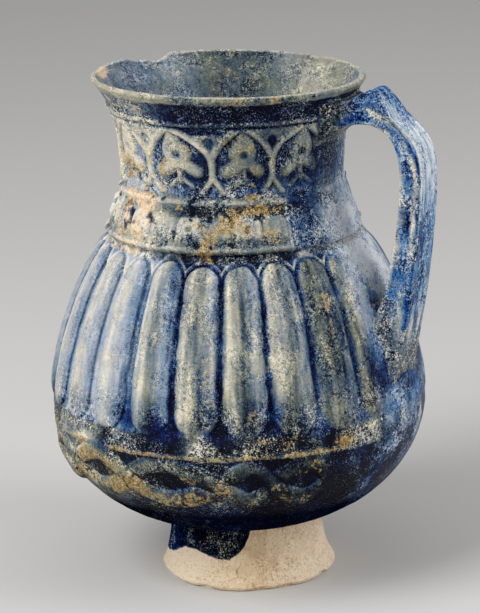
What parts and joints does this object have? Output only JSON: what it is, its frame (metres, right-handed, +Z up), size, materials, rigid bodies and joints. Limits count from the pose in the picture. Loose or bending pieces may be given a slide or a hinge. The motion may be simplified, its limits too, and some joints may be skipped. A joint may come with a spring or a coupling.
{
  "type": "moulded ceramic pitcher",
  "caption": "Moulded ceramic pitcher with a pedestal foot, interlace band, fluted belly, arcaded neck, flared rim and a strap handle with a thumb rest, for holding and pouring liquid.",
  "frame": {"origin": "on the floor, at the middle of the footprint of the whole pitcher, handle included", "axes": "+Z up along the vessel's axis, +X from the vessel towards the handle"},
  "size_m": [0.14, 0.1332, 0.177],
  "materials": {
    "cobalt_glaze": "weathered cobalt-blue glaze, dark in the hollows and worn pale on the high parts",
    "bisque": "unglazed pinkish-buff fired paste",
    "dry_slip": "fired slip in the joints"
  },
  "bodies": {
    "root": {"foot_ring": "bisque", "foot_slip": "dry_slip", "belly_slip": "dry_slip", "shoulder_slip": "dry_slip", "collar_slip_front": "dry_slip", "collar_slip_back": "dry_slip", "neck_slip": "dry_slip", "rim_slip": "dry_slip", "handle_upper_slip": "dry_slip", "handle_lower_slip": "dry_slip", "lower_bowl": "cobalt_glaze", "fluted_body": "cobalt_glaze", "collar_band": "cobalt_glaze", "collar_infill": "cobalt_glaze", "neck": "cobalt_glaze", "rim": "cobalt_glaze", "handle": "cobalt_glaze", "thumb_rest": "cobalt_glaze"}
  },
  "joints": []
}
